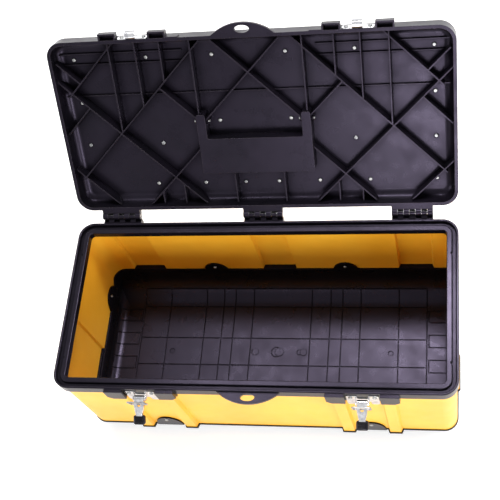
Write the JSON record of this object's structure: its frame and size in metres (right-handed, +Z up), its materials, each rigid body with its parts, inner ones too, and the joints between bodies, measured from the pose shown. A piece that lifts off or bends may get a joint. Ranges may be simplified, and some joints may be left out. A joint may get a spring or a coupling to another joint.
{
  "type": "toolbox",
  "caption": "Toolbox with yellow steel walls, black moulded base and rim, a ribbed and riveted hinged lid with fold-away handle, chrome draw latches with thumb caps and padlock eyes.",
  "frame": {"origin": "middle of the flat underside of the base tray's floor, on the ground", "axes": "+X along the length, to the right seen from the front; +Y from the latches to the hinges; +Z up"},
  "size_m": [0.591, 0.5077, 0.4607],
  "materials": {
    "black_plastic": "moulded, fine grain, slightly shiny",
    "yellow_paint": "semi-gloss golden yellow powder coat",
    "chrome": "bright plated pressed steel",
    "bright_steel": "zinc-bright steel"
  },
  "bodies": {
    "box": {"base_tray": "black_plastic", "body_shell": "yellow_paint", "rim_frame": "black_plastic", "base_rivets": "bright_steel", "latch_plate_left": "chrome", "latch_plate_right": "chrome", "latch_rivets": "bright_steel", "lever_pin_left": "bright_steel", "lever_pin_right": "bright_steel", "hinge_pin_left": "bright_steel", "hinge_pin_middle": "bright_steel", "hinge_pin_right": "bright_steel"},
    "lid": {"lid_shell": "black_plastic", "lid_ribs_rising": "black_plastic", "lid_ribs_falling": "black_plastic", "lid_ribs_upright": "black_plastic", "lid_plate": "yellow_paint", "lid_rivets": "bright_steel", "keeper_left": "chrome", "keeper_right": "chrome", "keeper_rivets": "bright_steel", "handle_pin_left": "bright_steel", "handle_pin_right": "bright_steel"},
    "carry": {"handle": "black_plastic"},
    "lever_left": {"lever_left": "chrome", "lever_cap_left": "black_plastic"},
    "lever_right": {"lever_right": "chrome", "lever_cap_right": "black_plastic"},
    "bail_left": {"bail_left": "bright_steel"},
    "bail_right": {"bail_right": "bright_steel"}
  },
  "joints": [
    {"name": "lid_hinge", "type": "hinge", "parent": "box", "child": "lid", "pos_m": [0, 0.147, 0.213], "axis": [1, 0, 0], "range_deg": [0, 124.6]},
    {"name": "handle_fold", "type": "hinge", "parent": "lid", "child": "carry", "pos_m": [0, 0.24411, 0.32824], "axis": [1, 0, 0], "range_deg": [-34.6, 60]},
    {"name": "lever_left_swing", "type": "hinge", "parent": "box", "child": "lever_left", "pos_m": [-0.162, -0.1445, 0.1965], "axis": [1, 0, 0], "range_deg": [0, 62]},
    {"name": "bail_left_swing", "type": "hinge", "parent": "lever_left", "child": "bail_left", "pos_m": [-0.162, -0.15278, 0.19298], "axis": [1, 0, 0], "range_deg": [-78.49, 0]},
    {"name": "lever_right_swing", "type": "hinge", "parent": "box", "child": "lever_right", "pos_m": [0.162, -0.1445, 0.1965], "axis": [1, 0, 0], "range_deg": [0, 62]},
    {"name": "bail_right_swing", "type": "hinge", "parent": "lever_right", "child": "bail_right", "pos_m": [0.162, -0.15278, 0.19298], "axis": [1, 0, 0], "range_deg": [-78.49, 0]}
  ],
  "couplings": [
    {"joint": "bail_left_swing", "follows": "lever_left_swing", "ratio": -1.2659},
    {"joint": "bail_right_swing", "follows": "lever_right_swing", "ratio": -1.2659}
  ]
}
